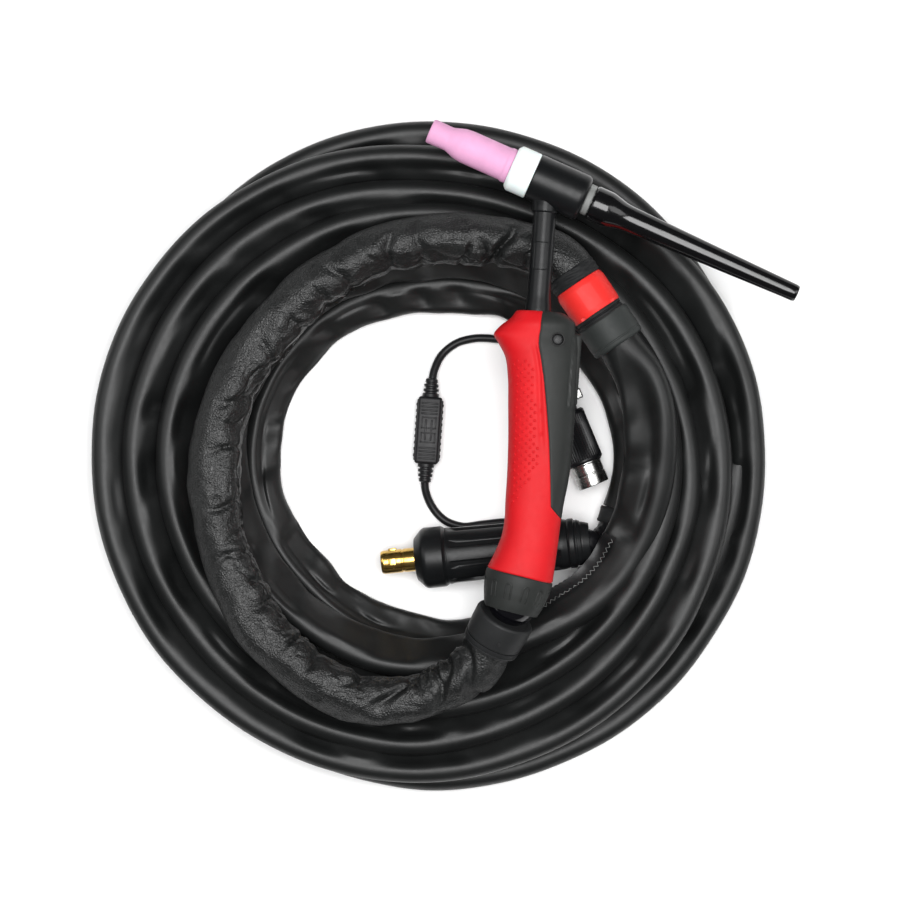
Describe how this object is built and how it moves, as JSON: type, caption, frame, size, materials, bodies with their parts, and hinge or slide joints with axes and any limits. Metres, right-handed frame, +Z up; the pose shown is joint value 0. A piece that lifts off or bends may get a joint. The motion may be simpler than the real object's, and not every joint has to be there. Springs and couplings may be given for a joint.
{
  "type": "tig torch",
  "caption": "Gas-cooled TIG welding torch with angled head, two-tone grip, ball swivel, leather hose section and coiled sheath ending in a bayonet power plug and a control plug.",
  "frame": {"origin": "crossing of the electrode bore's axis and the neck's axis, inside the head", "axes": "+Y up the neck from handle to head, +Z up with the torch lying flat on its coiled hose"},
  "size_m": [0.3742, 0.372, 0.0901],
  "materials": {
    "brass": "satin",
    "copper": "satin",
    "overmould_black": "satin",
    "insulator_grey": "satin",
    "ptfe_white": "matte",
    "alumina_pink": "matte",
    "cap_black": "gloss",
    "seal_black": "matte",
    "shell_grey": "matte",
    "grip_red": "matte",
    "screw_black": "satin",
    "switch_black": "matte",
    "wire_red": "matte",
    "cable_black": "matte",
    "liner_ivory": "satin",
    "ball_black": "gloss",
    "sleeve_grey": "satin",
    "leather_black": "satin",
    "cuff_black": "matte",
    "coupling_red": "satin",
    "collar_grey": "satin",
    "sheath_black": "matte",
    "housing_black": "satin",
    "plug_brass": "polished",
    "lead_black": "satin",
    "module_black": "satin",
    "nut_black": "satin",
    "connector_chrome": "polished",
    "insert_brown": "matte",
    "contact_gold": "polished",
    "steel": "satin"
  },
  "bodies": {
    "hose_package": {"swivel_ball": "ball_black", "hose_sleeve": "sleeve_grey", "leather_clamp_ring": "cuff_black", "swivel_cable": "cable_black", "leather_hose": "leather_black", "leather_cuff": "cuff_black", "coupling_ring": "coupling_red", "groove_ring": "cuff_black", "sheath_collar": "collar_grey", "coupling_cable": "cable_black", "sheath_run": "sheath_black", "hose_coil": "sheath_black", "sheath_inner_turn": "sheath_black", "end_cuff": "cuff_black", "power_lead": "lead_black", "plug_boot": "housing_black", "plug_housing": "housing_black", "plug_pin": "plug_brass", "plug_ferrule": "copper", "plug_grub_screw": "steel", "control_lead": "lead_black", "inline_module": "module_black", "module_reliefs": "module_black", "control_plug_body": "nut_black", "control_plug_shell": "connector_chrome", "control_plug_insert": "insert_brown", "control_plug_pins": "contact_gold", "cable_clamp": "connector_chrome", "clamp_screws": "steel"},
    "ball_liner": {"ball_liner": "liner_ivory"},
    "torch": {"head_core": "brass", "head_insulation": "overmould_black", "rear_insulator": "insulator_grey", "collet_body": "copper", "collet": "copper", "neck_tube": "copper", "neck_sleeve": "overmould_black", "cable_adapter": "brass", "handle_cable": "cable_black", "handle_shell_top": "shell_grey", "handle_shell_bottom": "shell_grey", "grip_top": "grip_red", "grip_bottom": "grip_red", "handle_screw": "screw_black", "trigger_switch": "switch_black", "switch_wires": "wire_red", "swivel_socket": "shell_grey"},
    "trigger": {"trigger_button": "shell_grey"},
    "front_shield": {"heat_shield_ring": "ptfe_white"},
    "nozzle": {"nozzle": "alumina_pink"},
    "cap_seal": {"back_cap_o_ring": "seal_black"},
    "back_cap": {"back_cap": "cap_black"},
    "coupling_nut": {"coupling_nut": "nut_black"}
  },
  "joints": [
    {"name": "ball_lift", "type": "hinge", "parent": "hose_package", "child": "ball_liner", "pos_m": [-0.00242, -0.22248, 0], "axis": [1, 0, 0], "range_deg": [0, 40]},
    {"name": "ball_swing", "type": "hinge", "parent": "ball_liner", "child": "torch", "pos_m": [-0.00242, -0.22248, 0], "axis": [0, 0, 1], "range_deg": [-3, 10]},
    {"name": "trigger_press", "type": "slide", "parent": "torch", "child": "trigger", "axis": [-1, 0, 0], "range_m": [0, 0.0015], "stiffness_N_per_m": 800},
    {"name": "shield_travel", "type": "slide", "parent": "torch", "child": "front_shield", "axis": [-0.9397, 0.342, 0], "range_m": [0, 0.0064]},
    {"name": "nozzle_turn", "type": "hinge", "parent": "front_shield", "child": "nozzle", "pos_m": [0, 0, 0], "axis": [-0.9397, 0.342, 0], "range_deg": [0, 1800]},
    {"name": "seal_travel", "type": "slide", "parent": "torch", "child": "cap_seal", "axis": [0.9397, -0.342, 0], "range_m": [0, 0.0063]},
    {"name": "cap_turn", "type": "hinge", "parent": "cap_seal", "child": "back_cap", "pos_m": [0, 0, 0], "axis": [0.9397, -0.342, 0], "range_deg": [0, 1800]},
    {"name": "nut_turn", "type": "hinge", "parent": "hose_package", "child": "coupling_nut", "pos_m": [0.0155, -0.1105, -0.0608], "axis": [0.4462, -0.8949, 0], "continuous": true}
  ],
  "couplings": [
    {"joint": "shield_travel", "follows": "nozzle_turn", "m_per_rad": 0.00020213},
    {"joint": "seal_travel", "follows": "cap_turn", "m_per_rad": 0.00019894}
  ]
}
